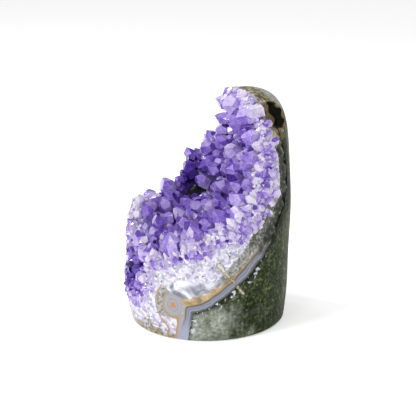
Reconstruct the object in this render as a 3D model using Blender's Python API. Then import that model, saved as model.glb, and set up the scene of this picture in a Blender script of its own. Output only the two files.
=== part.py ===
"""A cut-base amethyst geode: a polished piece of a gas bubble's wall in basalt, lined with
agate, then quartz, then amethyst crystals. It stands on its sawn base.

Metres, +Z up. The crystals face -Y, the front, and the tall back is at +Y.
The origin is on the base, under the middle of the piece's box.
"""

import math

import bmesh
import bpy
from mathutils import Matrix, Vector, noise
from mathutils.bvhtree import BVHTree

MM = 0.001

# The polished outside: a round column that leans back into a rounded peak.
HEIGHT = 118 * MM
COLUMN_RADIUS = (43 * MM, 42 * MM)
PLAN_STRETCH = 0.03  # how much longer and narrower than round the column's plan is
PLAN_LONG_SIDE = math.radians(-75)
COLUMN_SEGMENTS = 56
SHOULDER = 60 * MM  # the column starts to close here
DOME_POWER = 2.2
PEAK = Vector((9.5 * MM, 18.5 * MM))  # where the peak stands over the base's middle
WALL_LEAN = Vector((1.2 * MM, 1.0 * MM))  # how far the wall leans over up to the shoulder
PEAK_LEAN = 2.4  # the lean grows with this power of the rise
FOOT_HEIGHT = 26 * MM
FOOT_ROUNDING = 0.03  # how much the foot pulls in all round
LEFT_FOOT_ROUNDING = 0.06  # and how much more on its most rounded side
FOOT_SIDE = math.radians(222)
LUMPINESS = 0.012  # share of its radius that the polished outside wanders by
WALL_LEVELS = 9
DOME_LEVELS = 12

# The bubble is a cluster of round lobes. Each lobe has a centre, and the radii along X, Y and
# Z of its crystal bed, of its quartz's back and of its agate's back, in millimetres. The
# flank is only a thicker stretch of the quartz and agate.
LOBES = {
    "back": dict(centre=(-5, -40, 101), bed=(62, 57, 61), quartz=(64, 59, 66), agate=(68, 63, 70)),
    "channel": dict(
        centre=(-26, -57, 36), bed=(28, 28, 30), quartz=(47, 62, 85), agate=(51, 66, 89)
    ),
    "side": dict(centre=(-46, 15, 114), bed=(46, 43, 47), quartz=(52, 49, 54), agate=(55, 52, 58)),
    "shelf": dict(centre=(-46, 6, 88), bed=(28, 29, 44), quartz=(34, 35, 51), agate=(37, 38, 55)),
    "pocket": dict(centre=(-16, 8, 60), bed=(9, 12, 10), quartz=(13, 16, 14), agate=(15, 18, 16)),
    "flank": dict(centre=(7, -30, 78), quartz=(44, 55, 62), agate=(48, 59, 66)),
}
LOBE_SUBDIVISIONS = 4
WAVINESS = 0.035  # share of its radius that a lobe's surface wanders by
GAP = 0.3 * MM  # left between neighbouring pieces

# A small blind vug in the rock, high on the right.
VUG_CENTRE = Vector((31, 15, 108)) * MM
VUG_RADII = Vector((5, 8, 7)) * MM

# The crystals: hexagonal shafts with six-sided tips.
CRYSTAL_RADIUS = 5.4 * MM
CRYSTAL_SPACING = 11.5 * MM
JITTER = 0.22  # share of the spacing that a crystal's seat wanders by
SHAFT = 0.9  # shaft height over crystal radius
TIP = 1.25  # tip height over crystal radius
RIM_MARGIN = 4.5 * MM  # crystals keep this far inside the polished outside
SMALLEST_CRYSTAL = 2.6 * MM

COLOURS = {
    "basalt": ((0.13, 0.15, 0.12), 0.35),
    "agate": ((0.36, 0.37, 0.45), 0.2),
    "quartz": ((0.86, 0.84, 0.90), 0.3),
    "amethyst": ((0.33, 0.17, 0.66), 0.12),
}


def clear_scene():
    for obj in list(bpy.data.objects):
        bpy.data.objects.remove(obj)


def collection(name):
    made = bpy.data.collections.new(name)
    bpy.context.scene.collection.children.link(made)
    return made


def material(name):
    colour, roughness = COLOURS[name]
    made = bpy.data.materials.new(name)
    made.use_nodes = True
    shader = made.node_tree.nodes["Principled BSDF"]
    shader.inputs["Base Color"].default_value = (*colour, 1)
    shader.inputs["Roughness"].default_value = roughness
    shader.inputs["Metallic"].default_value = 0
    return made


def object_from(bm, name, into, made_of=None):
    bmesh.ops.recalc_face_normals(bm, faces=bm.faces)
    mesh = bpy.data.meshes.new(name)
    bm.to_mesh(mesh)
    bm.free()
    obj = bpy.data.objects.new(name, mesh)
    into.objects.link(obj)
    if made_of:
        mesh.materials.append(made_of)
    return obj


def cut(obj, cutter, operation="DIFFERENCE"):
    boolean = obj.modifiers.new(operation.title(), "BOOLEAN")
    boolean.operation = operation
    boolean.object = cutter
    return obj


def hide(obj):
    obj.hide_render = True
    obj.display_type = "WIRE"
    return obj


# ---- the polished outside ----


def column_section(height):
    """The column's middle and its share of the full radius at a height."""
    if height <= SHOULDER:
        return WALL_LEAN * (height / SHOULDER - 0.5), 1.0
    rise = (height - SHOULDER) / (HEIGHT - SHOULDER)
    share = max(0.0, 1 - rise**DOME_POWER) ** (1 / DOME_POWER)
    return (WALL_LEAN / 2).lerp(PEAK, rise**PEAK_LEAN), share


def column_point(angle, height, share=1.0):
    """A point on the outside at an angle round the column, or inside it for a smaller share."""
    middle, closing = column_section(height)
    low = max(0.0, 1 - height / FOOT_HEIGHT)
    facing = 0.5 + 0.5 * math.cos(angle - FOOT_SIDE)
    foot = 1 - low**2.4 * (FOOT_ROUNDING + LEFT_FOOT_ROUNDING * facing**1.5)
    plan = 1 + PLAN_STRETCH * math.cos(2 * (angle - PLAN_LONG_SIDE))
    spot = Vector((math.cos(angle), math.sin(angle), height / COLUMN_RADIUS[0]))
    lumps = 1 + LUMPINESS * noise.noise(spot * 1.3)
    reach = share * closing * foot * plan * lumps
    x = middle.x + COLUMN_RADIUS[0] * reach * math.cos(angle)
    y = middle.y + COLUMN_RADIUS[1] * reach * math.sin(angle)
    return Vector((x, y, height))


def column_angle(point, middle):
    """The angle that column_point needs to reach a point."""
    return math.atan2(
        (point.y - middle.y) / COLUMN_RADIUS[1], (point.x - middle.x) / COLUMN_RADIUS[0]
    )


def column_heights():
    """The heights of the column's rings, closer together towards the peak."""
    wall = [SHOULDER * step / WALL_LEVELS for step in range(1, WALL_LEVELS + 1)]
    span = HEIGHT - SHOULDER
    turns = [math.pi / 2 * step / DOME_LEVELS for step in range(1, DOME_LEVELS)]
    return wall + [SHOULDER + span * math.sin(turn) for turn in turns]


def outside_of_the_column(name, into):
    """A flat foot grown upwards ring by ring, closed at the peak."""
    bm = bmesh.new()
    ring = bmesh.ops.create_circle(bm, cap_ends=True, segments=COLUMN_SEGMENTS, radius=1)
    for v in ring["verts"]:
        v.co = column_point(math.atan2(v.co.y, v.co.x), 0.0)
    middle, _ = column_section(0.0)
    edges = [e for e in bm.edges if e.is_boundary or len(e.link_faces) == 1]
    for height in column_heights():
        grown = bmesh.ops.extrude_edge_only(bm, edges=edges)["geom"]
        edges = [g for g in grown if isinstance(g, bmesh.types.BMEdge)]
        for v in (g for g in grown if isinstance(g, bmesh.types.BMVert)):
            v.co = column_point(column_angle(v.co, middle), height)
        middle, _ = column_section(height)
    rim = list({v for e in edges for v in e.verts})
    bmesh.ops.pointmerge(bm, verts=rim, merge_co=(*PEAK, HEIGHT))
    return object_from(bm, name, into)


def inside_the_column(point, margin):
    """True where a point lies at least the margin inside the polished outside."""
    if not margin < point.z < HEIGHT - margin:
        return False
    middle, _ = column_section(point.z)
    reach = (column_point(column_angle(point, middle), point.z).xy - middle).length
    return (point.xy - middle).length < reach - margin


# ---- the bubble's lobes ----


def lobe_radii(lobe, layer):
    """A lobe's radii at its crystal bed, its quartz's back or its agate's back."""
    return Vector(lobe[layer]) * MM


def lobe_point(lobe, direction, radii):
    """The wavy lobe's surface along a unit direction from its centre."""
    wander = 1 + WAVINESS * noise.noise(direction * 2.2 + Vector(lobe["centre"]) * 0.1)
    return Vector(lobe["centre"]) * MM + direction * radii * wander


def in_lobe(point, lobe):
    away = point - Vector(lobe["centre"]) * MM
    radii = lobe_radii(lobe, "bed")
    return sum((a / r) ** 2 for a, r in zip(away, radii)) < 1


def bubble(layer, grow, into):
    """All the lobes joined into one closed cutter for a layer, grown or shrunk a little."""
    name = f"bubble_{layer}_{'out' if grow > 0 else 'in' if grow < 0 else 'face'}"
    joined = None
    for key, lobe in LOBES.items():
        if layer not in lobe:
            continue
        bm = bmesh.new()
        bmesh.ops.create_icosphere(bm, subdivisions=LOBE_SUBDIVISIONS, radius=1)
        radii = lobe_radii(lobe, layer) + Vector((grow, grow, grow))
        for v in bm.verts:
            v.co = lobe_point(lobe, v.co.normalized(), radii)
        lobe_obj = hide(object_from(bm, f"{name}_{key}", into))
        joined = cut(joined, lobe_obj, "UNION") if joined else lobe_obj
    return joined


def vug_cutter(into):
    bm = bmesh.new()
    bmesh.ops.create_icosphere(bm, subdivisions=3, radius=1)
    bmesh.ops.scale(bm, vec=VUG_RADII, verts=bm.verts)
    bmesh.ops.translate(bm, vec=VUG_CENTRE, verts=bm.verts)
    return hide(object_from(bm, "vug_cutter", into))


# ---- the crystals ----


def lattice(lobe):
    """Evenly spread unit directions: a spiral over the lobe, one crystal spacing apart."""
    a, b, c = lobe_radii(lobe, "bed")
    area = 4 * math.pi * ((a * b) ** 1.6 / 3 + (a * c) ** 1.6 / 3 + (b * c) ** 1.6 / 3) ** (1 / 1.6)
    count = int(area / (0.87 * CRYSTAL_SPACING**2))
    golden = math.pi * (3 - math.sqrt(5))
    for step in range(count):
        z = 1 - (2 * step + 1) / count
        flat = math.sqrt(1 - z * z)
        yield Vector((flat * math.cos(golden * step), flat * math.sin(golden * step), z))


def crystal_seats():
    """(region, place, outward axis) of each crystal on the bed, in the lobes' order."""
    seats = []
    for key in ("back", "channel", "side", "shelf"):
        lobe = LOBES[key]
        radii = lobe_radii(lobe, "bed")
        others = [other for name, other in LOBES.items() if name != key and "bed" in other]
        for direction in lattice(lobe):
            wander = noise.random_unit_vector() * JITTER * CRYSTAL_SPACING / max(radii)
            direction = (direction + wander).normalized()
            place = lobe_point(lobe, direction, radii)
            axis = -Vector(d / r for d, r in zip(direction, radii)).normalized()
            if not inside_the_column(place, RIM_MARGIN):
                continue
            if any(in_lobe(place + axis * CRYSTAL_RADIUS, other) for other in others):
                continue
            if any((place - seat[1]).length < CRYSTAL_SPACING * 0.8 for seat in seats):
                continue
            region = "seat" if key == "back" and axis.z > 0.7 else key
            seats.append((region, place, axis))
    return seats


def room_for(seat, seats):
    """The radius at which a crystal clears its neighbours and stays inside the outside."""
    _, place, axis = seat
    shoulder = place + axis * SHAFT * CRYSTAL_RADIUS
    others = (o[1] + o[2] * SHAFT * CRYSTAL_RADIUS for o in seats if o is not seat)
    nearest = min((shoulder - other).length for other in others)
    radius = min(CRYSTAL_RADIUS, nearest / 2 - GAP)
    while radius > SMALLEST_CRYSTAL:
        if inside_the_column(place + axis * (SHAFT + TIP) * radius, GAP):
            break
        radius *= 0.9
    return radius


def crystal(name, place, axis, radius, into, made_of, bed):
    """A hexagonal shaft with a six-sided tip, standing just clear of the bed."""
    bm = bmesh.new()
    bmesh.ops.create_cone(
        bm,
        cap_ends=True,
        segments=6,
        radius1=radius * 0.86,
        radius2=radius,
        depth=SHAFT * radius,
        matrix=Matrix.Translation((0, 0, SHAFT * radius / 2)),
    )
    top = max(bm.faces, key=lambda f: f.calc_center_median().z)
    bmesh.ops.poke(bm, faces=[top], offset=TIP * radius)
    turn = axis.to_track_quat("Z", "Y").to_matrix().to_4x4()
    spin = Matrix.Rotation(noise.random() * math.pi / 3, 4, "Z")
    bm.transform(Matrix.Translation(place) @ turn @ spin)
    roots = sorted(bm.verts, key=lambda v: (v.co - place).dot(axis))[:6]
    start = 4 * radius
    clearances = []
    for v in roots:
        hit = bed.ray_cast(v.co + axis * start, -axis)
        clearances.append(hit[3] - start if hit[0] else 0.0)
    lift = GAP - min(clearances)
    bmesh.ops.translate(bm, verts=bm.verts, vec=axis * lift)
    return object_from(bm, name, into, made_of)


def bed_tree(obj):
    graph = bpy.context.evaluated_depsgraph_get()
    return BVHTree.FromObject(obj, graph)


def build():
    clear_scene()
    noise.seed_set(7)
    geode = collection("amethyst_geode")
    cutters = collection("cutters")

    half = GAP / 2
    basalt = outside_of_the_column("basalt_body", geode)
    basalt.data.materials.append(material("basalt"))
    cut(basalt, bubble("agate", half, cutters))
    vug = vug_cutter(cutters)
    cut(basalt, vug)

    agate = outside_of_the_column("agate_band", geode)
    agate.data.materials.append(material("agate"))
    cut(agate, bubble("agate", -half, cutters), "INTERSECT")
    cut(agate, bubble("quartz", half, cutters))
    cut(agate, vug)

    quartz = outside_of_the_column("quartz_crust", geode)
    quartz.data.materials.append(material("quartz"))
    cut(quartz, bubble("quartz", -half, cutters), "INTERSECT")
    cut(quartz, bubble("bed", 0.0, cutters))
    cut(quartz, vug)

    bpy.context.view_layer.update()
    bed = bed_tree(quartz)
    amethyst = material("amethyst")
    seats = crystal_seats()
    counts = dict.fromkeys(("seat", *LOBES), 0)
    for seat in seats:
        region, place, axis = seat
        counts[region] += 1
        radius = room_for(seat, seats) * (0.9 + 0.1 * noise.random())
        name = f"{region}_crystal_{counts[region]:02d}"
        crystal(name, place, axis, radius, geode, amethyst, bed)


build()
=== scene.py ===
"""A cut-base amethyst geode of basalt, agate, quartz and amethyst, polished for display."""

import math
import random

import bmesh
import bpy
from mathutils import Matrix, Vector, kdtree, noise


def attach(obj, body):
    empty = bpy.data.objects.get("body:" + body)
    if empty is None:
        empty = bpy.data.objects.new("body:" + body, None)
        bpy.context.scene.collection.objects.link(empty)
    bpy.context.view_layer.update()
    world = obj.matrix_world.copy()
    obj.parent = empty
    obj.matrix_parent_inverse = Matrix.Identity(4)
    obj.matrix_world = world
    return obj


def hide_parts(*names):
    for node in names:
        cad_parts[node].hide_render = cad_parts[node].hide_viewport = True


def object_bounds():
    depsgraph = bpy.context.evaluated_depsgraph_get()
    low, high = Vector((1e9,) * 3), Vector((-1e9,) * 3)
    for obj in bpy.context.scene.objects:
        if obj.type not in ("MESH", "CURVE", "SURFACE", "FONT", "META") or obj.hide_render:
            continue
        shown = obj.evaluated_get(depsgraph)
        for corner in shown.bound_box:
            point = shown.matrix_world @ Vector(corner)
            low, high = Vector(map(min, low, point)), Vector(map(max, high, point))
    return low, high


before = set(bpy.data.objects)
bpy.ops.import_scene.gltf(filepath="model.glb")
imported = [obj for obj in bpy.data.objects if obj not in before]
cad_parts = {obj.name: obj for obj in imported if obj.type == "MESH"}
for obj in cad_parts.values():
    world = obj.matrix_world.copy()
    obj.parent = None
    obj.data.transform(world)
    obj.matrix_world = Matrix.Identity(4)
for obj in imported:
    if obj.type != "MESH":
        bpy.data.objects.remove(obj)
cad_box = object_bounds()
MM = 0.001


# ---- Basalt body ----
# The host rock round the gas bubble. It was sawn flat below, ground to a leaning column and
# polished, so its outside is smooth and the bubble's lobes are cut away from its front.

COLUMN_HEIGHT = cad_box[1][2]
COLUMN_RADIUS = (43 * MM, 42 * MM)
PLAN_STRETCH = 0.03
PLAN_LONG_SIDE = math.radians(-75)
SHOULDER = 60 * MM
DOME_POWER = 2.2
PEAK = Vector((9.5 * MM, 18.5 * MM))
WALL_LEAN = Vector((1.2 * MM, 1.0 * MM))
PEAK_LEAN = 2.4
FOOT_HEIGHT = 26 * MM
FOOT_ROUNDING = 0.03
LEFT_FOOT_ROUNDING = 0.06
FOOT_POWER = 2.4  # how suddenly the foot draws in
FOOT_SIDE = math.radians(222)
LUMPINESS = 0.012
LUMP_SCALE = 1.3
SAWN_EDGE = 0.7 * MM  # the sawn base's edge is eased by this much
COLUMN_SEGMENTS = 168
WALL_LEVELS = 38
DOME_LEVELS = 44

# The bubble's lobes: a centre, and the radii of the crystal bed, of the quartz's back and of
# the agate's back, in millimetres. The flank is only a thicker stretch of quartz and agate.
LOBES = {
    "back": dict(centre=(-5, -40, 101), bed=(62, 57, 61), quartz=(64, 59, 66), agate=(68, 63, 70)),
    "channel": dict(
        centre=(-26, -57, 36), bed=(28, 28, 30), quartz=(47, 62, 85), agate=(51, 66, 89)
    ),
    "side": dict(centre=(-46, 15, 114), bed=(46, 43, 47), quartz=(52, 49, 54), agate=(55, 52, 58)),
    "shelf": dict(centre=(-46, 6, 88), bed=(28, 29, 44), quartz=(34, 35, 51), agate=(37, 38, 55)),
    "pocket": dict(centre=(-16, 8, 60), bed=(9, 12, 10), quartz=(13, 16, 14), agate=(15, 18, 16)),
    "flank": dict(centre=(7, -30, 78), quartz=(44, 55, 62), agate=(48, 59, 66)),
}
WAVINESS = 0.035
WAVE_SCALE = 2.2
RIPPLE_LENGTH = 7.0  # mm, of the small waves that the layers' contacts have
RIPPLE = 0.55  # mm high
VOXEL = {"bed": 2.2 * MM, "quartz": 1.5 * MM, "agate": 1.5 * MM}

FOOT_REFLECTION = Vector((20, -36, 4)) * MM  # the basalt is painted paler round here as a reflection, low at the front
REFLECTION_STREAK_SIDE = math.radians(38)  # the side where a painted brownish reflection runs up the basalt in streaks
VUG_CENTRE = Vector((31, 15, 108)) * MM
VUG_RADII = Vector((5, 8, 7)) * MM
VUG_SWELL = 1.16
VUG_BUMPS = 0.35
VUG_BUMP_SCALE = 1.7
CHIP_CENTRE = Vector((35.4, 21.7, 18.6)) * MM
CHIP_RADIUS = 3.0 * MM
CHIP_DEPTH = 1.6 * MM


def column_section(height):
    """The column's middle and its share of the full radius at a height."""
    if height <= SHOULDER:
        return WALL_LEAN * (height / SHOULDER - 0.5), 1.0
    rise = (height - SHOULDER) / (COLUMN_HEIGHT - SHOULDER)
    share = max(0.0, 1 - rise**DOME_POWER) ** (1 / DOME_POWER)
    return (WALL_LEAN / 2).lerp(PEAK, rise**PEAK_LEAN), share


def column_point(angle, height):
    """A point on the polished outside."""
    middle, closing = column_section(height)
    low = max(0.0, 1 - height / FOOT_HEIGHT)
    facing = (0.5 + 0.5 * math.cos(angle - FOOT_SIDE)) ** 1.5
    foot = 1 - low**FOOT_POWER * (FOOT_ROUNDING + LEFT_FOOT_ROUNDING * facing)
    plan = 1 + PLAN_STRETCH * math.cos(2 * (angle - PLAN_LONG_SIDE))
    spot = Vector((math.cos(angle), math.sin(angle), height / COLUMN_RADIUS[0]))
    lumps = 1 + LUMPINESS * noise.noise(spot * LUMP_SCALE)
    reach = closing * foot * plan * lumps
    x = middle.x + COLUMN_RADIUS[0] * reach * math.cos(angle)
    y = middle.y + COLUMN_RADIUS[1] * reach * math.sin(angle)
    return Vector((x, y, height))


def column_angle(point, middle):
    """The angle that column_point needs to reach a point."""
    return math.atan2(
        (point.y - middle.y) / COLUMN_RADIUS[1], (point.x - middle.x) / COLUMN_RADIUS[0]
    )


def under_the_surface(point):
    """How far a point lies inside the polished outside, in millimetres."""
    if not 0 < point.z < COLUMN_HEIGHT:
        return -1.0
    middle, _ = column_section(point.z)
    wall = column_point(column_angle(point, middle), point.z).xy - middle
    return min(wall.length - (point.xy - middle).length, COLUMN_HEIGHT - point.z) / MM


def object_from(bm, name):
    bmesh.ops.recalc_face_normals(bm, faces=bm.faces)
    mesh = bpy.data.meshes.new(name)
    bm.to_mesh(mesh)
    bm.free()
    obj = bpy.data.objects.new(name, mesh)
    bpy.context.scene.collection.objects.link(obj)
    return obj


def polished_column(name):
    """The whole ground column, grown ring by ring from its sawn base."""
    bm = bmesh.new()
    circle = bmesh.ops.create_circle(bm, cap_ends=True, segments=COLUMN_SEGMENTS, radius=1)
    for v in circle["verts"]:
        edge = column_point(math.atan2(v.co.y, v.co.x), 0.0)
        v.co = edge - edge.normalized() * SAWN_EDGE
    wall = [SAWN_EDGE + SHOULDER * step / WALL_LEVELS for step in range(WALL_LEVELS + 1)]
    turns = [math.pi / 2 * step / DOME_LEVELS for step in range(1, DOME_LEVELS)]
    dome = [SHOULDER + (COLUMN_HEIGHT - SHOULDER) * math.sin(turn) for turn in turns]
    middle, _ = column_section(0.0)
    edges = [e for e in bm.edges if e.is_boundary or len(e.link_faces) == 1]
    for height in wall + [level for level in dome if level > wall[-1]]:
        grown = bmesh.ops.extrude_edge_only(bm, edges=edges)["geom"]
        edges = [g for g in grown if isinstance(g, bmesh.types.BMEdge)]
        for v in (g for g in grown if isinstance(g, bmesh.types.BMVert)):
            v.co = column_point(column_angle(v.co, middle), height)
        middle, _ = column_section(height)
    rim = list({v for e in edges for v in e.verts})
    bmesh.ops.pointmerge(bm, verts=rim, merge_co=(*PEAK, COLUMN_HEIGHT))
    return object_from(bm, name)


def lobes_of(layer):
    """(centre, radii, key) of each lobe that has a layer."""
    return [
        (Vector(lobe["centre"]) * MM, Vector(lobe[layer]) * MM, key)
        for key, lobe in LOBES.items()
        if layer in lobe
    ]


def wander(direction, centre):
    """A lobe's share of its full reach along a direction from its centre."""
    return 1 + WAVINESS * noise.noise(direction * WAVE_SCALE + centre * 100)


def ripple(point):
    """The small waves of a contact between layers, in millimetres."""
    return RIPPLE * noise.fractal(point / (RIPPLE_LENGTH * MM), 0.9, 2.1, 3)


def outward(point, layer):
    """How far outside a layer's back a point lies, in mm. Less than 0 is nearer the hollow."""
    gaps = []
    for centre, radii, _ in lobes_of(layer):
        scaled = Vector(a / r for a, r in zip(point - centre, radii))
        slope = Vector(s / r for s, r in zip(scaled, radii))
        size = scaled.length
        gaps.append((size - wander(scaled / size, centre)) * size / slope.length)
    return min(gaps) / MM - ripple(point)


def bubble(layer):
    """All the lobes of one layer's back, joined into one closed and gently rippled skin."""
    bm = bmesh.new()
    for centre, radii, _ in lobes_of(layer):
        ball = bmesh.ops.create_icosphere(bm, subdivisions=5, radius=1)
        for v in ball["verts"]:
            direction = v.co.normalized()
            v.co = centre + direction * radii * wander(direction, centre)
    skin = object_from(bm, f"bubble_{layer}")
    joined = skin.modifiers.new("Joined", "REMESH")
    joined.mode = "VOXEL"
    joined.voxel_size = VOXEL[layer] * 1
    skin = settled(skin, skin.name)
    normals = [v.normal.copy() for v in skin.data.vertices]
    for v, normal in zip(skin.data.vertices, normals):
        v.co += normal * ripple(v.co) * MM
    return skin


def settled(obj, name):
    """The object with its modifiers applied, under a name, in place of the one given."""
    graph = bpy.context.evaluated_depsgraph_get()
    mesh = bpy.data.meshes.new_from_object(obj.evaluated_get(graph))
    bpy.data.objects.remove(obj)
    made = bpy.data.objects.new(name, mesh)
    mesh.name = name
    bpy.context.scene.collection.objects.link(made)
    return made


def cut(obj, cutter, operation="DIFFERENCE"):
    boolean = obj.modifiers.new(operation.title(), "BOOLEAN")
    boolean.operation = operation
    boolean.object = cutter


def write_attributes(obj, **fields):
    """Stores a number for each vertex under each name, worked out from the vertex's place."""
    for name, of_point in fields.items():
        values = [of_point(v.co) for v in obj.data.vertices]
        obj.data.attributes.new(name, "FLOAT", "POINT").data.foreach_set("value", values)


def shade_polished(obj):
    obj.data.shade_smooth()
    obj.data.set_sharp_from_angle(angle=math.radians(35))


def from_vug(point):
    """Distance outside the vug's wall, in millimetres."""
    away = point - VUG_CENTRE
    scaled = Vector(a / r for a, r in zip(away, VUG_RADII))
    slope = Vector(s / r for s, r in zip(scaled, VUG_RADII))
    return (scaled.length - 1) * scaled.length / slope.length / MM


def vug():
    bm = bmesh.new()
    bmesh.ops.create_icosphere(bm, subdivisions=4, radius=1)
    for v in bm.verts:
        bumpy = VUG_SWELL + VUG_BUMPS * noise.noise(v.co * VUG_BUMP_SCALE)
        v.co = VUG_CENTRE + v.co * VUG_RADII * bumpy
    return object_from(bm, "vug")


back_of = {layer: bubble(layer) for layer in ("agate", "quartz", "bed")}
vug_cutter = vug()

basalt = polished_column("basalt")
cut(basalt, back_of["agate"])
cut(basalt, vug_cutter)
basalt = settled(basalt, "polished_basalt")
for v in basalt.data.vertices:
    chip = 1 - (v.co - CHIP_CENTRE).length / CHIP_RADIUS
    if chip > 0:
        v.co -= Vector((v.co.x, v.co.y, 0)).normalized() * chip * CHIP_DEPTH
shade_polished(basalt)


def linear(code):
    """A colour's linear values from its sRGB hex code."""
    parts = [int(code[i : i + 2], 16) / 255 for i in (1, 3, 5)]
    return (*[p / 12.92 if p <= 0.04045 else ((p + 0.055) / 1.055) ** 2.4 for p in parts], 1.0)


def add(tree, kind, inputs=(), out=None, stops=None, **settings):
    """Adds a node and gives its output. Inputs are values, hex colours or links, in the order of
    the node's sockets or by their names; stops are a ramp's places and hex colours. A noise's
    first inputs are its place, scale, detail and roughness."""
    node = tree.nodes.new(f"ShaderNode{kind}")
    for name, value in settings.items():
        setattr(node, name, value)
    sockets = [socket for socket in node.inputs if socket.enabled]
    if isinstance(inputs, dict):
        sockets = [next(s for s in sockets if s.name == name) for name in inputs]
        inputs = inputs.values()
    for socket, value in zip(sockets, inputs):
        if isinstance(value, bpy.types.NodeSocket):
            tree.links.new(value, socket)
        else:
            socket.default_value = linear(value) if isinstance(value, str) else value
    if stops:
        elements = node.color_ramp.elements
        while len(elements) < len(stops):
            elements.new(0.5)
        for element, (place, code) in zip(elements, stops):
            element.position = place
            element.color = linear(code)
    return node.outputs[out] if out else next(s for s in node.outputs if s.enabled)


def new_material(name):
    """A material, its node tree and its Principled shader."""
    material = bpy.data.materials.new(name)
    material.use_nodes = True
    tree = material.node_tree
    return material, tree, tree.nodes["Principled BSDF"]


def period(length):
    """The texture scale that repeats a pattern at a length in millimetres."""
    return 1 / (length * MM)


def where(tree, *limits):
    """1 where all the limits hold. Each is a value, then where it gives 0 and where it gives 1,
    with a soft step between the two."""
    shares = [
        add(tree, "MapRange", limit, interpolation_type="SMOOTHSTEP") for limit in limits
    ]
    result = shares[0]
    for share in shares[1:]:
        result = add(tree, "Math", (result, share), operation="MULTIPLY")
    return result


def laid_over(tree, colour, over, *limits):
    """A colour with another laid over it where all the limits hold."""
    return add(tree, "Mix", (where(tree, *limits), colour, over), data_type="RGBA")


def wear(obj, material, slot_name, *nodes):
    """Gives a finished piece its material and its body, and hides the CAD nodes it stands for."""
    obj.data.materials.clear()
    obj.data.materials.append(material)
    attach(obj, "root")
    if nodes:
        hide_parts(*nodes)


# One healed crack crosses the quartz, the agate and the basalt as a pale vein.
VEIN = (Vector((31.8, -29.4, 40.6)) * MM, Vector((38.4, -17.6, 23.5)) * MM)


def from_vein(point):
    """Distance from the vein's line in mm, counted longer toward its thin lower end."""
    start, end = VEIN
    share = max(0.0, min(1.0, (point - start).dot(end - start) / (end - start).length_squared))
    return (point - start.lerp(end, share)).length / MM + 0.5 * share


def veined(tree, colour):
    """A colour with the vein laid over it: cream, with a tan edge."""
    from_line = add(tree, "Attribute", out="Fac", attribute_name="from_vein")
    place = add(tree, "TexCoord", out="Object")
    ragged = add(tree, "TexNoise", (place, period(1.6), 4.0))
    width = add(tree, "Math", (ragged, 1.8, from_line), operation="MULTIPLY_ADD")
    edge = laid_over(tree, colour, "#6d664c", (width, 2.4, 2.0))
    filling = add(
        tree, "ValToRGB", {"Fac": ragged},
        stops=[(0.38, "#9c9482"), (0.47, "#c6c0b4"), (0.58, "#e0ded9")],
    )
    return laid_over(tree, edge, filling, (width, 2.1, 1.7))


# Places and colours of the tan crumbs that lie at the contact high up.
CRUMBLY = [(0.36, "#3f3b29"), (0.47, "#7b725b"), (0.58, "#a2977f"), (0.7, "#cbc6bd")]


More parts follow.
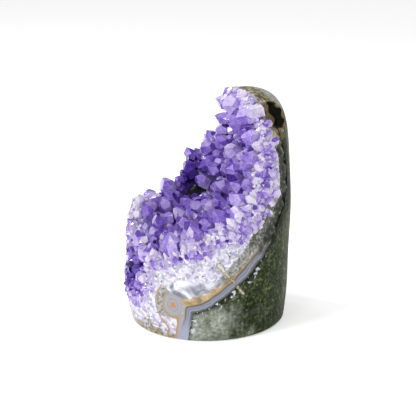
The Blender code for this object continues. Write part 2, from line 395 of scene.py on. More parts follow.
def basalt_polished():
    """Fine grained basalt, ground and polished: dark olive green with specks of feldspar, with
    painted reflections: paler grey green at the front of the foot, brownish streaks up the right
    side."""
    material, tree, shader = new_material("basalt_polished")
    place = add(tree, "TexCoord", out="Object")
    from_agate, from_hollow, to_foot_reflection, streak_reflection_share, height = (
        add(tree, "Attribute", out="Fac", attribute_name=name)
        for name in ("from_agate", "from_vug", "from_pale_foot", "streaked", "height")
    )
    mottle = add(tree, "TexNoise", (place, period(7), 8.0, 0.72))
    grit = add(tree, "TexNoise", (place, period(1.6), 4.0, 0.7))
    ground = add(tree, "Mix", (0.55, mottle, grit), data_type="FLOAT")
    colour = add(
        tree, "ValToRGB", {"Fac": ground},
        stops=[(0.36, "#0a0f05"), (0.45, "#1b250e"), (0.53, "#333e20"), (0.62, "#626b4d")],
    )
    # Brownish streaks up one side: a painted reflection.
    along = add(tree, "Mapping", {"Vector": place, "Scale": (1.0, 1.0, 0.04)})
    streak = add(tree, "TexNoise", (along, period(3), 5.0, 0.65))
    streak = add(tree, "Math", (where(tree, (streak, 0.44, 0.6)), streak_reflection_share), operation="MULTIPLY")
    colour = add(tree, "Mix", (streak, colour, "#68664f"), data_type="RGBA")
    clouds = add(tree, "TexNoise", (place, period(11), 6.0))
    # Paler grey green low at the front of the foot: a painted reflection.
    foot = add(tree, "Math", (clouds, 60.0, to_foot_reflection), operation="MULTIPLY_ADD")
    foot_reflection_colour = add(
        tree, "ValToRGB", {"Fac": ground},
        stops=[(0.36, "#545b4b"), (0.46, "#7f8578"), (0.55, "#9ca297"), (0.64, "#c3c6be")],
    )
    colour = laid_over(tree, colour, foot_reflection_colour, (foot, 62.0, 36.0))
    # The top is paler, where the agate lies just under it.
    cap = add(
        tree, "ValToRGB", {"Fac": ground},
        stops=[(0.36, "#6e6c62"), (0.48, "#9b9891"), (0.62, "#bdb9b6")],
    )
    capped = add(tree, "Math", (clouds, -12.0, height), operation="MULTIPLY_ADD")
    colour = laid_over(tree, colour, cap, (capped, 97.0, 105.0))
    # Feldspar specks about 1 mm across, drawn as coarse as they need to show.
    cells = add(tree, "TexVoronoi", {"Vector": place, "Scale": period(1.7)})
    lot = add(tree, "SeparateColor", {"Color": cells.node.outputs["Color"]}, out="Red")
    specks = where(tree, (cells, 0.36, 0.12), (lot, 0.55, 0.95))
    specks = add(tree, "Math", (specks, 0.4), operation="MULTIPLY")
    colour = add(tree, "Mix", (specks, colour, "#a4a89c"), data_type="RGBA")
    # The contact with the agate: a dark line, wide and rotten high up, with chips of white
    # quartz in it lower down.
    rough = add(tree, "TexNoise", (place, period(2.4), 4.0))
    width = add(tree, "MapRange", (height, 38.0, 60.0, 0.6, 2.4))
    rotten = add(
        tree, "ValToRGB", {"Fac": grit},
        stops=[(0.36, "#090b05"), (0.5, "#171b0e"), (0.6, "#2c321f"), (0.72, "#565a4b")],
    )
    contact = add(tree, "Math", (from_agate, width), operation="SUBTRACT")
    contact = add(tree, "Math", (rough, -4.0, contact), operation="MULTIPLY_ADD")
    colour = laid_over(tree, colour, rotten, (contact, -0.4, -3.0))
    chips = add(tree, "TexNoise", (place, period(2.2), 6.0))
    chips = where(tree, (chips, 0.56, 0.62), (from_agate, 3.6, 1.2), (height, 46.0, 34.0))
    colour = add(tree, "Mix", (chips, colour, "#c9cbd2"), data_type="RGBA")
    # High up the contact is a tan, crumbly strip.
    crumbs = add(tree, "ValToRGB", {"Fac": grit}, stops=CRUMBLY)
    strip = add(tree, "Math", (rough, -5.0, from_agate), operation="MULTIPLY_ADD")
    strip = where(tree, (strip, 0.8, -0.4), (height, 94.0, 102.0))
    colour = add(tree, "Mix", (strip, colour, crumbs), data_type="RGBA")
    colour = veined(tree, colour)
    # The vug has a tan rim; its inside is painted near-black as shade.
    colour = laid_over(tree, colour, "#7a6546", (from_hollow, 2.1, 1.7))
    colour = laid_over(tree, colour, "#0a0d06", (from_hollow, 1.5, 1.2))
    tree.links.new(colour, shader.inputs["Base Color"])
    dull = add(tree, "MapRange", (ground, 0.35, 0.65, 0.6, 0.36))
    tree.links.new(dull, shader.inputs["Roughness"])
    shader.inputs["Specular IOR Level"].default_value = 0.08
    relief = add(tree, "Bump", {"Strength": 0.35, "Distance": 0.15 * MM, "Height": ground})
    tree.links.new(relief, shader.inputs["Normal"])
    return material


def step(value, zero_at, one_at):
    """A soft step of a number: 0 at one value and 1 at another."""
    share = min(1.0, max(0.0, (value - zero_at) / (one_at - zero_at)))
    return share * share * (3 - 2 * share)


def height_of(point):
    return point.z / MM


def streaked(point):
    """How strongly the painted reflection's brownish streaks show: most on one side, and not on
    the lower quarter.
    """
    toward = max(0.0, math.cos(math.atan2(point.y, point.x) - REFLECTION_STREAK_SIDE))
    return toward**6 * step(height_of(point), 30, 60)


write_attributes(
    basalt,
    from_agate=lambda point: outward(point, "agate"),
    from_pale_foot=lambda point: (point - FOOT_REFLECTION).length / MM,
    from_vein=from_vein,
    from_vug=from_vug,
    height=height_of,
    streaked=streaked,
)
wear(basalt, basalt_polished(), "basalt", "basalt_body")


# ---- Agate band ----
# The first lining of the bubble: a few millimetres of blue-grey agate in fine bands. High on
# the piece it is weathered out, which leaves a dark groove and crumbs of quartz.

WEATHERED_FROM = (40.0, 56.0)  # mm up the piece, where the weathering starts and is complete
GROOVE = 1.5  # mm deep at most
GROOVE_LENGTH = 4.0 * MM  # of its deeper and shallower stretches

agate = polished_column("agate")
cut(agate, back_of["agate"], "INTERSECT")
cut(agate, back_of["quartz"])
cut(agate, vug_cutter)
agate = settled(agate, "agate_lining")
for v in agate.data.vertices:
    if -0.3 < under_the_surface(v.co) < 0.3:
        rotten = 0.45 + 1.3 * noise.noise(v.co / GROOVE_LENGTH)
        depth = GROOVE * max(0.0, rotten) * step(v.co.z / MM, *WEATHERED_FROM)
        middle, _ = column_section(v.co.z)
        v.co.xy -= (v.co.xy - middle).normalized() * depth * MM
shade_polished(agate)


def across_agate(point):
    """0 at the quartz, 1 at the basalt."""
    inner, outer = outward(point, "quartz"), -outward(point, "agate")
    return inner / max(0.01, inner + outer)


def agate_banded():
    """Agate, polished: blue-grey bands between a tan line at the quartz and a dark outer line,
    green-black and rotten where it is weathered, tan and crumbly at the top."""
    material, tree, shader = new_material("agate_banded")
    place = add(tree, "TexCoord", out="Object")
    across, from_hollow, height = (
        add(tree, "Attribute", out="Fac", attribute_name=name)
        for name in ("across", "from_vug", "height")
    )
    waver = add(tree, "TexNoise", (place, period(5), 5.0))
    banding = add(tree, "Math", (waver, 0.35, across), operation="MULTIPLY_ADD")
    bands = add(
        tree, "ValToRGB", {"Fac": add(tree, "Math", (banding, 0.17), operation="SUBTRACT")},
        stops=[
            (0.02, "#a07a49"), (0.1, "#8f7550"), (0.16, "#4b4742"), (0.26, "#666a76"),
            (0.38, "#878b9d"), (0.5, "#6d717f"), (0.64, "#8e92a4"), (0.82, "#5a5e67"),
            (0.94, "#3d423c"),
        ],
    )
    # Paler blue grey low down: a painted reflection of the background.
    low_reflection = laid_over(tree, bands, "#9a9fb6", (height, 16.0, 2.0))
    grains = add(tree, "TexNoise", (place, period(2.2), 6.0))
    rotten = add(
        tree, "ValToRGB", {"Fac": grains},
        stops=[(0.38, "#0d1008"), (0.5, "#232817"), (0.6, "#4d5142"), (0.7, "#8f8f88")],
    )
    crumbs = add(tree, "ValToRGB", {"Fac": grains}, stops=CRUMBLY)
    ragged = add(tree, "Math", (waver, 16.0, height), operation="MULTIPLY_ADD")
    colour = laid_over(tree, low_reflection, rotten, (ragged, 47.0, 57.0))
    colour = laid_over(tree, colour, crumbs, (ragged, 98.0, 108.0))
    # The vug's tan rim, and its inside painted near-black as shade.
    colour = laid_over(tree, colour, "#80694a", (from_hollow, 2.1, 1.7))
    colour = laid_over(tree, colour, "#14160c", (from_hollow, 1.5, 1.2))
    tree.links.new(veined(tree, colour), shader.inputs["Base Color"])
    dull = add(tree, "MapRange", (height, 40.0, 60.0, 0.14, 0.6))
    tree.links.new(dull, shader.inputs["Roughness"])
    relief = add(tree, "Bump", {"Strength": 0.3, "Distance": 0.3 * MM, "Height": grains})
    tree.links.new(relief, shader.inputs["Normal"])
    return material


write_attributes(
    agate, across=across_agate, from_vein=from_vein, from_vug=from_vug, height=height_of
)
wear(agate, agate_banded(), "agate", "agate_band")


# ---- Quartz crust ----
# The white quartz that grew on the agate, and that the amethysts grow from. Where the polished
# outside cuts it, it shows sugary grains, milky chalcedony low at the front, and a small eye
# of agate round an orange spot.

EYE_CENTRE = Vector((12.4, -41.0, 18.6)) * MM
EYE_RADIUS = 5.4  # mm
HOLLOW = Vector((-20, 18, 63)) * MM  # the deepest place, where painted shade is darkest
# Painted shade is dark round the channel's core too.
CHANNEL_CORE = Vector((-22, -31, 28)) * MM
PALE_SEAT = Vector((-26, -18, 54)) * MM
EYE_TAIL = math.radians(215)  # the side of the eye with grey grains, as seen from the front

quartz = polished_column("quartz")
cut(quartz, back_of["quartz"], "INTERSECT")
cut(quartz, back_of["bed"])
cut(quartz, vug_cutter)
quartz = settled(quartz, "quartz_lining")
shade_polished(quartz)


def nearby(point, place, reach):
    """1 at a place, fading to 0 over a reach in millimetres."""
    return math.exp(-(((point - place).length / (reach * MM)) ** 2))


def violet(point):
    """How deep the amethyst's colour is at a place, with painted shade near the hollow and the
    channel's core: 0 is pale lilac, 1 is the deepest.
    """
    deep = 0.40 * step(under_the_surface(point), 1.0, 22.0)
    # Painted shade, darkest near the hollow and the channel's core.
    hollow_shade = 0.75 * nearby(point, HOLLOW, 15) + 0.75 * nearby(point, CHANNEL_CORE, 14)
    pale = 0.16 * nearby(point, PALE_SEAT, 13)
    patches = 0.26 * noise.noise(point / (11 * MM))
    return min(1.0, max(0.0, 0.10 + deep + hollow_shade - pale + patches))


def below_left_of_eye(point):
    """1 on the side of the eye that faces the foot's left, 0 towards the agate band."""
    away = point - EYE_CENTRE
    turn = math.atan2(away.z, away.x * 0.95 + away.y * 0.3)
    return 0.5 + 0.5 * math.cos(turn - EYE_TAIL)


def agate_in_quartz(point):
    """How far a point lies outside the blue-grey agate that runs into the eye, in mm."""
    away = point - EYE_CENTRE
    away.z *= 0.86  # the eye is a little taller than wide
    from_eye = away.length / MM - EYE_RADIUS
    from_band = -outward(point, "quartz") - 2.4 * step(point.z / MM, 17, 11)
    blend = max(0.0, 1 - abs(from_eye - from_band) / 3.0)
    return min(from_eye, from_band) - 0.75 * blend * blend


def quartz_sugary():
    """Quartz, cut and polished: lilac to white grains with grey pits, milky low at the front with
    its whitest swirls partly a painted reflection, stained orange where it meets the agate."""
    material, tree, shader = new_material("quartz_sugary")
    place = add(tree, "TexCoord", out="Object")
    from_bed, from_eye, from_hollow, round_agate, to_agate, inside, lower_left, height, depth = (
        add(tree, "Attribute", out="Fac", attribute_name=name)
        for name in (
            "from_bed", "from_eye", "from_vug", "round_agate", "to_agate",
            "inside", "lower_left", "height", "violet",
        )
    )
    # Grains about 1.5 mm across, each a little lighter or darker than the next.
    cells = add(tree, "TexVoronoi", {"Vector": place, "Scale": period(1.5)})
    lot = add(tree, "SeparateColor", {"Color": cells.node.outputs["Color"]}, out="Red")
    clouds = add(tree, "TexNoise", (place, period(7), 6.0, 0.6))
    fine = add(tree, "TexNoise", (place, period(1.2), 3.0, 0.7))
    ragged = add(tree, "Math", (clouds, 9.0, from_bed), operation="MULTIPLY_ADD")
    ragged = add(tree, "Math", (lot, 3.0, ragged), operation="MULTIPLY_ADD")
    rim = add(
        tree, "ValToRGB", {"Fac": where(tree, (ragged, 4.0, 14.0))},
        stops=[(0.05, "#8f76bb"), (0.3, "#ab9bcd"), (0.6, "#c2bbd8"), (0.9, "#cdccdb")],
    )
    grainy = add(tree, "Mix", (0.5, lot, fine), data_type="FLOAT")
    colour = laid_over(tree, rim, "#a5a0b8", (grainy, 0.57, 0.33))
    colour = laid_over(tree, colour, "#e4e1f0", (grainy, 0.58, 0.72))
    # Grey green grains with dark pits next to the agate, up to 9 mm wide left of the eye.
    reach = add(tree, "Math", (clouds, 3.0, round_agate), operation="MULTIPLY_ADD")
    weathered = add(
        tree, "ValToRGB", {"Fac": fine},
        stops=[(0.34, "#3f4138"), (0.46, "#7a7b74"), (0.58, "#a5a5a3"), (0.7, "#c9c9cc")],
    )
    weathering = where(tree, (reach, 6.0, 5.0), (height, 10.0, 14.0), (height, 58.0, 46.0))
    colour = add(tree, "Mix", (weathering, colour, weathered), data_type="RGBA")
    # Up the right side the outermost quartz is rotten and dark; round the vug it is tan crumbs.
    crumbling = add(tree, "Math", (clouds, 7.0, to_agate), operation="MULTIPLY_ADD")
    rotten = add(
        tree, "ValToRGB", {"Fac": fine},
        stops=[(0.34, "#0f120a"), (0.46, "#30352a"), (0.58, "#6d7066"), (0.7, "#a9a9a6")],
    )
    rotting = where(tree, (crumbling, 7.6, 6.2), (height, 44.0, 50.0), (height, 76.0, 64.0))
    colour = add(tree, "Mix", (rotting, colour, rotten), data_type="RGBA")
    crumbs = add(
        tree, "ValToRGB", {"Fac": fine},
        stops=[(0.34, "#3a3526"), (0.46, "#74684c"), (0.58, "#9a8f76"), (0.7, "#c9c2b4")],
    )
    round_vug = add(tree, "Math", (clouds, 8.0, from_hollow), operation="MULTIPLY_ADD")
    colour = laid_over(tree, colour, crumbs, (round_vug, 9.0, 7.4))
    low = add(tree, "Math", (clouds, 30.0, height), operation="MULTIPLY_ADD")
    low = add(tree, "Math", (fine, 12.0, low), operation="MULTIPLY_ADD")
    colour = laid_over(tree, colour, crumbs, (low, 29.0, 23.0))
    # An outer tan line bounds the grey grains left of the eye.
    outer_line = add(tree, "Math", (reach, -6.1), operation="ADD")
    outer_line = add(tree, "Math", (outer_line,), operation="ABSOLUTE")
    outer_line = where(tree, (outer_line, 0.65, 0.3), (lower_left, 0.35, 0.6))
    colour = add(tree, "Mix", (outer_line, colour, "#a78a5c"), data_type="RGBA")
    # Milky chalcedony over the eye, its whitest swirls partly a painted reflection.
    swirl = add(
        tree, "TexNoise", {"Vector": place, "Scale": period(9), "Detail": 3.0, "Distortion": 1.2}
    )
    milk_and_reflection = add(
        tree, "ValToRGB", {"Fac": swirl},
        stops=[(0.36, "#6f7280"), (0.45, "#9a9ca8"), (0.55, "#cfd1d9"), (0.68, "#f4f5f9")],
    )
    lowness = add(tree, "Math", (clouds, 14.0, height), operation="MULTIPLY_ADD")
    nearness = add(tree, "Math", (clouds, 6.0, to_agate), operation="MULTIPLY_ADD")
    milky_and_reflection = where(tree, (lowness, 40.0, 36.0), (nearness, 16.0, 13.0), (lower_left, 0.55, 0.3))
    colour = add(tree, "Mix", (milky_and_reflection, colour, milk_and_reflection), data_type="RGBA")
    # Orange and tan iron stain on the band, thickest next to the eye.
    stain = add(tree, "TexNoise", (place, period(4), 5.0))
    width = add(tree, "MapRange", (height, 20.0, 36.0, 4.6, 0.2))
    past = add(tree, "Math", (to_agate, width), operation="SUBTRACT")
    past = add(tree, "Math", (stain, 5.0, past), operation="MULTIPLY_ADD")
    stained = where(tree, (past, 3.0, 1.6), (height, 17.0, 20.0), (height, 54.0, 44.0))
    tan = add(
        tree, "ValToRGB", {"Fac": stain},
        stops=[(0.36, "#7d7058"), (0.48, "#a99069"), (0.6, "#c4ab84"), (0.72, "#d9cfbc")],
    )
    colour = add(tree, "Mix", (stained, colour, tan), data_type="RGBA")
    # The agate eye: blue-grey rings round an orange core, with a tan line at its edge.
    ring = add(tree, "Math", (clouds, 2.4, round_agate), operation="MULTIPLY_ADD")
    tan_line = where(tree, (ring, 2.1, 1.7), (lower_left, 0.3, 0.55))
    colour = add(tree, "Mix", (tan_line, colour, "#a78253"), data_type="RGBA")
    rings = add(
        tree, "ValToRGB", {"Fac": where(tree, (ring, 1.2, -5.4))},
        stops=[
            (0.0, "#9a9694"), (0.2, "#9b9ca8"), (0.35, "#8a8c97"), (0.5, "#a5a6b1"),
            (0.7, "#9c9ca2"), (0.9, "#b7ab9c"),
        ],
    )
    colour = laid_over(tree, colour, rings, (ring, 1.2, 0.8))
    core = add(tree, "Math", (fine, 2.4, from_eye), operation="MULTIPLY_ADD")
    colour = laid_over(tree, colour, "#ad7f47", (core, 4.4, 1.8))
    # Dark pits between the grains.
    holes = add(tree, "TexNoise", (place, period(2.0), 4.0))
    pitted = where(tree, (holes, 0.63, 0.68), (milky_and_reflection, 0.6, 0.2), (ring, 1.2, 2.4))
    colour = add(tree, "Mix", (pitted, colour, "#5c5e5a"), data_type="RGBA")
    colour = veined(tree, colour)
    # The natural bed between the crystals has their colour, and near-black painted shade in the
    # hollow.
    on_bed = add(tree, "Math", (where(tree, (from_bed, 0.6, 0.2)), inside), operation="MULTIPLY")
    bed = add(
        tree, "ValToRGB", {"Fac": depth},
        stops=[(0.0, "#a994d6"), (0.3, "#6d50a6"), (0.6, "#38216c"), (0.9, "#0d0620")],
    )
    colour = add(tree, "Mix", (on_bed, colour, bed), data_type="RGBA")
    tree.links.new(colour, shader.inputs["Base Color"])
    gloss = add(tree, "MapRange", (milky_and_reflection, 0.0, 1.0, 0.34, 0.08))
    tree.links.new(gloss, shader.inputs["Roughness"])
    shader.inputs["IOR"].default_value = 1.544
    rough = add(tree, "MapRange", (milky_and_reflection, 0.0, 1.0, 0.5, 0.0))
    relief = add(tree, "Bump", {"Strength": rough, "Distance": 0.35 * MM, "Height": grainy})
    tree.links.new(relief, shader.inputs["Normal"])
    return material


write_attributes(
    quartz,
    from_bed=lambda point: outward(point, "bed"),
    from_eye=lambda point: (point - EYE_CENTRE).length / MM,
    from_vein=from_vein,
    from_vug=from_vug,
    height=height_of,
    inside=lambda point: step(under_the_surface(point), 0.1, 0.6),
    lower_left=below_left_of_eye,
    round_agate=agate_in_quartz,
    to_agate=lambda point: -outward(point, "quartz"),
    violet=violet,
)
wear(quartz, quartz_sugary(), "quartz", "quartz_crust")
for cutter in (*back_of.values(), vug_cutter):
    bpy.data.objects.remove(cutter)


# ---- Large amethyst points ----
# Single crystals of amethyst, each a short six-sided shaft under a tip of three large and
# three small faces. They stand where the frame has its crystals, at the same size.

RHOMB_SLOPE = math.radians(51.8)  # quartz's tip faces against its base
FORMS = 14
FORM_TOP = 3.4  # of the shaft before its tip is cut, in crystal radii
FORM_ROOT = 0.5  # how far the shaft goes down into the bed, in crystal radii
FORM_TAPER = 0.82  # of the shaft's radius at its root
LEAST_TONE = 0.42  # the large points are at least this deep a violet


def crystal_form(rng, rounding, segments):
    """A crystal of radius 1 whose bed level is z = 0 and whose tip is near z = 2."""
    bm = bmesh.new()
    bmesh.ops.create_cone(
        bm,
        cap_ends=True,
        segments=6,
        radius1=FORM_TAPER,
        radius2=1.0,
        depth=FORM_TOP + FORM_ROOT,
        matrix=Matrix.Translation((0, 0, (FORM_TOP - FORM_ROOT) / 2)),
    )
    large = rng.uniform(1.75, 1.95)
    for side in range(6):
        turn = math.radians(60 * side)
        apex = large + (rng.uniform(0.0, 0.14) if side % 2 else rng.uniform(0.22, 0.5))
        slope = RHOMB_SLOPE + math.radians(rng.uniform(-4, 4))
        facing = Vector((math.cos(turn), math.sin(turn), 0)) * math.sin(slope)
        facing.z = math.cos(slope)
        sliced = bmesh.ops.bisect_plane(
            bm,
            geom=[*bm.verts, *bm.edges, *bm.faces],
            plane_co=(0, 0, apex),
            plane_no=facing,
            clear_outer=True,
        )
        rims = [g for g in sliced["geom_cut"] if isinstance(g, bmesh.types.BMEdge)]
        if rims:
            bmesh.ops.edgeloop_fill(bm, edges=rims)
    bmesh.ops.recalc_face_normals(bm, faces=bm.faces)
    if rounding:
        bmesh.ops.bevel(
            bm,
            geom=bm.edges[:],
            offset=rounding,
            offset_type="OFFSET",
            segments=segments,
            profile=0.5,
            affect="EDGES",
            material=-1,
        )
    mesh = bpy.data.meshes.new("crystal_form")
    bm.to_mesh(mesh)
    bm.free()
    return mesh


def start_druse():
    """An empty mesh whose points can hold a crystal's colour and painted shade, and whose faces
    its painted reflections.
    """
    bm = bmesh.new()
    for name in ("violet", "along"):
        bm.verts.layers.float.new(name)
    bm.faces.layers.float.new("facet_reflection")
    return bm


def grow(bm, form, place, axis, spin, radius, stretch, tone):
    """Adds one crystal to a mesh, standing on the bed at a place."""
    turn = axis.to_track_quat("Z", "Y").to_matrix().to_4x4()
    size = Matrix.Diagonal((radius, radius, radius * stretch, 1))
    matrix = Matrix.Translation(place) @ turn @ Matrix.Rotation(spin, 4, "Z") @ size
    first, first_face = len(bm.verts), len(bm.faces)
    bm.from_mesh(form)
    bm.verts.ensure_lookup_table()
    bm.faces.ensure_lookup_table()
    # Each face gets a random step of tone: painted reflections inside the crystal.
    facet_reflection = bm.faces.layers.float["facet_reflection"]
    for face in bm.faces[first_face:]:
        face[facet_reflection] = rng.gauss(0, 1)
    colour, along = bm.verts.layers.float["violet"], bm.verts.layers.float["along"]
    for v in bm.verts[first:]:
        v[along] = v.co.z / 2
        v[colour] = tone
        v.co = matrix @ v.co


def amethyst_glassy():
    """Amethyst with natural faces: glassy quartz, pale lilac by the rim to deep violet in the
    hollow, darkened there by painted shade, its colour strongest under the tip."""
    material, tree, shader = new_material("amethyst_glassy")
    place = add(tree, "TexCoord", out="Object")
    tone, along, facet_reflection = (
        add(tree, "Attribute", out="Fac", attribute_name=name)
        for name in ("violet", "along", "facet_reflection")
    )
    wisps = add(tree, "TexNoise", {
        "Vector": place, "Scale": period(2.4), "Detail": 6.0, "Roughness": 0.7, "Distortion": 0.6
    })
    tone = add(tree, "Math", (wisps, 1.0, tone), operation="MULTIPLY_ADD")
    tone = add(tree, "Math", (along, 0.16, tone), operation="MULTIPLY_ADD")
    # Each face's random step of tone is a painted reflection.
    tone = add(tree, "Math", (facet_reflection, 0.17, tone), operation="MULTIPLY_ADD")
    colour = add(
        tree, "ValToRGB", {"Fac": add(tree, "Math", (tone, 0.62), operation="SUBTRACT")},
        stops=[
            (0.0, "#f3eefb"), (0.18, "#d6c6f5"), (0.4, "#ae90ea"), (0.65, "#7650c6"),
            (1.0, "#2f1470"),
        ],
    )
    tree.links.new(colour, shader.inputs["Base Color"])
    shader.inputs["Roughness"].default_value = 0.05
    shader.inputs["IOR"].default_value = 1.544
    shader.inputs["Transmission Weight"].default_value = 0.3
    relief = add(tree, "Bump", {"Strength": 0.25, "Distance": 0.12 * MM, "Height": wisps})
    tree.links.new(relief, shader.inputs["Normal"])
    return material


def crystal_of(node):
    """(bed place, axis, radius, height) of one of the frame's crystals."""
    corners = {v.co.to_tuple(6): v.co.copy() for v in node.data.vertices}.values()
    middle = sum(corners, Vector()) / len(corners)
    tip = max(corners, key=lambda co: (co - middle).length)
    rings = [co for co in corners if co is not tip]
    axis = (tip - sum(rings, Vector()) / len(rings)).normalized()
    height = max((tip - co).dot(axis) for co in rings)
    radius = max(((co - tip) - axis * (co - tip).dot(axis)).length for co in rings)
    return tip - axis * height, axis, radius, height


rng = random.Random(11)
amethyst = amethyst_glassy()
large_forms = [crystal_form(rng, 0.035, 2) for _ in range(FORMS)]
grown = []  # (place, radius) of every crystal so far
for name, node in sorted(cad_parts.items()):
    if "_crystal_" not in name:
        continue
    place, axis, radius, height = crystal_of(node)
    form = rng.choice(large_forms)
    tall = max(v.co.z for v in form.vertices)
    bm = start_druse()
    tone = max(LEAST_TONE, violet(place + axis * height / 2)) + rng.uniform(-0.08, 0.08)
    spin = rng.uniform(0, math.pi / 3)
    grow(bm, form, place, axis, spin, radius, height / radius / tall, tone)
    point = object_from(bm, name.replace("crystal", "point"))
    wear(point, amethyst, "amethyst", name)
    grown.append((place, radius))


# ---- Druse ----
# The hundreds of smaller amethyst crystals that cover the bed between the large points. They
# grew crowded together from the same quartz, shortest and palest at the rim.

GAP_AXIS = Vector((0.62, -0.73, 0.29)).normalized()
GAP_LENGTH = 30 * MM
GAP_RADIUS = 4.0 * MM
small_forms = [crystal_form(rng, 0.04, 1) for _ in range(FORMS)]
tiny_forms = [crystal_form(rng, 0.0, 1) for _ in range(FORMS)]

# The rounds of growth, large to tiny: spacing, least and most depth under the polished outside
# in mm, radius at the rim in mm, its growth for each mm of depth, the forms, how far the
# crystals lean, and how near to a middle the next may stand, as a share of the two radii.
ROUNDS = [
    (5.6 * MM, 1.4, 99, 2.2, 0.05, small_forms, 0.34, 0.55),
    (3.4 * MM, 0.8, 99, 1.5, 0.03, small_forms, 0.36, 0.54),
    (2.0 * MM, 0.4, 7, 0.85, 0.08, tiny_forms, 0.3, 0.5),
]
DEEPEST_GROWTH = 20  # mm of depth past which crystals get no larger
OFF_THE_BED = 0.6  # mm inside the hollow, where a lobe's bed has run into another lobe


def spiral(radii, spacing):
    """Even directions over a lobe's bed, one spacing apart."""
    a, b, c = radii
    power = 1.6  # of the usual estimate of an ellipsoid's area
    mean = ((a * b) ** power + (a * c) ** power + (b * c) ** power) / 3
    count = int(4 * math.pi * mean ** (1 / power) / (0.87 * spacing**2))
    golden = math.pi * (3 - math.sqrt(5))
    for number in range(count):
        z = 1 - (2 * number + 1) / count
        flat = math.sqrt(1 - z * z)
        yield Vector((flat * math.cos(golden * number), flat * math.sin(golden * number), z))


def bed_places(centre, radii, spacing, margin):
    """(place, axis, depth under the polished outside) of the open bed's seats in a lobe."""
    for direction in spiral(radii, spacing):
        jitter = Vector((rng.gauss(0, 1), rng.gauss(0, 1), rng.gauss(0, 1)))
        direction = (direction + jitter * 0.3 * spacing / max(radii)).normalized()
        place = centre + direction * radii * wander(direction, centre)
        depth = under_the_surface(place)
        if depth < margin or outward(place, "bed") < -OFF_THE_BED - RIPPLE:
            continue
        axis = -Vector(d / r for d, r in zip(direction, radii)).normalized()
        yield place, axis, depth


def in_the_gap(point, radius):
    """True where a crystal would close the gap that leads down into the hollow."""
    away = point - HOLLOW
    along = max(0.0, min(GAP_LENGTH, away.dot(GAP_AXIS)))
    return (away - GAP_AXIS * along).length < radius + GAP_RADIUS


def crowd(bm, lobe, spacing, margin, reach, rim_radius, growth, forms, tilt, apart):
    """Grows crystals over a lobe's bed, clear of the middles of those already there."""
    tree = kdtree.KDTree(len(grown))
    for number, (place, _) in enumerate(grown):
        tree.insert(place, number)
    tree.balance()
    for place, axis, depth in list(bed_places(*lobe, spacing, margin)):
        if depth > reach:
            continue
        radius = rim_radius + growth * min(depth, DEEPEST_GROWTH)
        radius = radius * rng.uniform(0.65, 1.4) * MM
        _, nearest, distance = tree.find(place)
        if distance < apart * (grown[nearest][1] + radius):
            continue
        if in_the_gap(place + axis * radius, radius):
            continue
        lean = Vector((rng.gauss(0, tilt), rng.gauss(0, tilt), rng.gauss(0, tilt)))
        tone = violet(place + axis * radius) + rng.uniform(-0.14, 0.14)
        stretch = rng.uniform(0.8, 1.25)
        spin = rng.uniform(0, math.pi / 3)
        axis = (axis + lean).normalized()
        grow(bm, rng.choice(forms), place, axis, spin, radius, stretch, tone)
        grown.append((place, radius))


for centre, radii, key in lobes_of("bed"):
    bm = start_druse()
    for growth_round in ROUNDS:
        crowd(bm, (centre, radii), *growth_round)
    druse = object_from(bm, f"{key}_druse")
    wear(druse, amethyst, "amethyst")


# ---- Rim crystals ----
# Where the polished outside cuts the ends of the crystals, they show as a rough pale edge of
# broken points between the hollow and the white quartz. They are set almost flush in it.

RIM_SPACING = 2.5 * MM
RIM_WIDTH = 3.2  # mm past the bed
RIGHT_RIM_WIDTH = 7.0  # mm more, up the right side
RIM_RAGGEDNESS = 1.5  # mm
RIM_RADIUS = (1.5, 3.3)  # mm, smallest and largest
QUARTZ_LEFT = 1.2  # mm of quartz outside a rim crystal, at least
CLEAR_OF_VUG = 1.5  # mm
RIM_TAPER = 0.14  # mm of radius lost for each mm past the bed
RIM_TONE = 0.42
RIM_FADE = 0.026  # of tone for each mm past the bed
FACING = (0.75, 0.65)  # how far a rim crystal leans out of the surface and to the hollow
TIP_AT = 1.9  # radii from a rim crystal's bed to its tip


def facing_out(point):
    """The polished outside's normal at a point on it."""
    step_size = 0.2 * MM
    middle, _ = column_section(point.z)
    angle = column_angle(point, middle)
    along_it = column_point(angle + 0.01, point.z) - column_point(angle - 0.01, point.z)
    up_it = column_point(angle, point.z + step_size) - column_point(angle, point.z - step_size)
    return along_it.cross(up_it).normalized()


def toward_hollow(point):
    """The direction in which the bed is reached soonest."""
    small = 0.5 * MM
    slopes = [
        outward(point - Vector(side) * small, "bed") - outward(point + Vector(side) * small, "bed")
        for side in ((1, 0, 0), (0, 1, 0), (0, 0, 1))
    ]
    return Vector(slopes).normalized()


def rim_reach(point):
    """How far past the bed the rough edge goes, in mm: wider up the right side."""
    ragged = RIM_RAGGEDNESS * noise.noise(point / (5 * MM))
    return RIM_WIDTH + RIGHT_RIM_WIDTH * step(height_of(point), 38, 62) + ragged


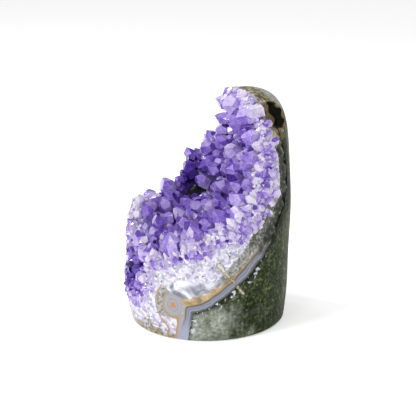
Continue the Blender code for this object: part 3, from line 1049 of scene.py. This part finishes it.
bm = start_druse()
levels = int(COLUMN_HEIGHT / RIM_SPACING)
for level in range(2, levels - 1):
    height = (level + rng.uniform(-0.4, 0.4)) * RIM_SPACING
    _, share = column_section(height)
    around = max(6, int(2 * math.pi * COLUMN_RADIUS[0] * share / RIM_SPACING))
    for number in range(around):
        place = column_point((number + rng.uniform(-0.4, 0.4)) / around * 2 * math.pi, height)
        past = outward(place, "bed")
        if not -OFF_THE_BED < past < rim_reach(place) or outward(place, "quartz") > -QUARTZ_LEFT:
            continue
        if from_vug(place) < CLEAR_OF_VUG:
            continue
        smallest, largest = RIM_RADIUS
        radius = rng.uniform(smallest, largest - RIM_TAPER * max(0.0, past)) * MM
        axis = facing_out(place) * FACING[0] + toward_hollow(place) * FACING[1]
        axis += Vector((rng.gauss(0, 0.25), rng.gauss(0, 0.25), rng.gauss(0, 0.25)))
        axis.normalize()
        tone = RIM_TONE - RIM_FADE * past + rng.uniform(-0.1, 0.1)
        proud = rng.uniform(0.3, 1.0) * MM * step(COLUMN_HEIGHT - height, 0, 16 * MM)
        root = place - axis * (TIP_AT * radius - proud)
        grow(bm, rng.choice(tiny_forms), root, axis, rng.uniform(0, 1), radius, 1.0, tone)
wear(object_from(bm, "rim_druse"), amethyst, "amethyst")


# ---- Table, light and camera ----
# A white table under soft light from large panels.

TABLE_HALF = 4  # metres
TABLE_DROP = 0.2 * MM  # below the sawn base
TABLE_GLOW = 0.36
ROOM_LIGHT = 0.55
CAMERA_TURN = 40  # degrees round from the front
CAMERA_RISE = 16
CAMERA_DISTANCE = 0.70
CAMERA_LENS = 118.3
AIM_DROP = 2.0 * MM

# Each panel's turn and rise in degrees, its distance and side in metres, and its watts.
PANELS = {
    "key_panel": (-10, 50, 0.9, 0.16, 2.4),
    "left_panel": (-75, 25, 0.9, 0.14, 2.4),
    "front_panel": (55, 30, 1.0, 0.14, 0.7),
    "right_panel": (110, 35, 1.1, 0.14, 0.35),
    "glint_panel_0": (20, 70, 0.9, 0.11, 0.45),
    "glint_panel_1": (-40, 10, 0.9, 0.11, 0.45),
    "glint_panel_2": (35, 5, 0.9, 0.11, 0.45),
    "glint_panel_3": (-100, 60, 0.9, 0.11, 0.45),
    "glint_panel_4": (85, 60, 0.9, 0.11, 0.45),
}


def from_piece(turn, rise):
    """The direction from the piece that a turn and a rise in degrees give."""
    turn, rise = math.radians(turn), math.radians(rise)
    return Vector((
        math.sin(turn) * math.cos(rise), -math.cos(turn) * math.cos(rise), math.sin(rise)
    ))


def stand(name, data, place, back):
    """Adds a light or a camera at a place, its back toward a direction."""
    thing = bpy.data.objects.new(name, data)
    thing.location = place
    thing.rotation_euler = back.to_track_quat("Z", "Y").to_euler()
    bpy.context.scene.collection.objects.link(thing)
    return thing


table_mesh = bmesh.new()
bmesh.ops.create_grid(table_mesh, x_segments=1, y_segments=1, size=TABLE_HALF)
table = object_from(table_mesh, "table")
table.location.z = -TABLE_DROP
table_material, tree, shader = new_material("table_white")
shader.inputs["Base Color"].default_value = linear("#f7f7f7")
shader.inputs["Roughness"].default_value = 0.9
shader.inputs["Emission Color"].default_value = linear("#ffffff")
shader.inputs["Emission Strength"].default_value = TABLE_GLOW
table.data.materials.append(table_material)

low, high = cad_box
centre = (Vector(low) + Vector(high)) / 2
back = from_piece(CAMERA_TURN, CAMERA_RISE)
sideways = from_piece(CAMERA_TURN + 90, 0)
aim = centre - back.cross(sideways) * AIM_DROP
camera_data = bpy.data.cameras.new("camera")
camera_data.lens = CAMERA_LENS
bpy.context.scene.camera = stand("camera", camera_data, aim + back * CAMERA_DISTANCE, back)

for name, (turn, rise, distance, side, watts) in PANELS.items():
    data = bpy.data.lights.new(name, "AREA")
    data.size = side
    data.energy = watts
    toward = from_piece(turn, rise)
    stand(name, data, centre + toward * distance, toward)
world = bpy.data.worlds.new("room")
world.use_nodes = True
tree = world.node_tree
seen = add(tree, "LightPath", out="Is Camera Ray")
strength = add(tree, "MapRange", (seen, 0.0, 1.0, ROOM_LIGHT, 1.0))
tree.links.new(strength, tree.nodes["Background"].inputs["Strength"])
tree.nodes["Background"].inputs["Color"].default_value = (1, 1, 1, 1)
bpy.context.scene.world = world
bpy.context.scene.view_settings.view_transform = "Standard"
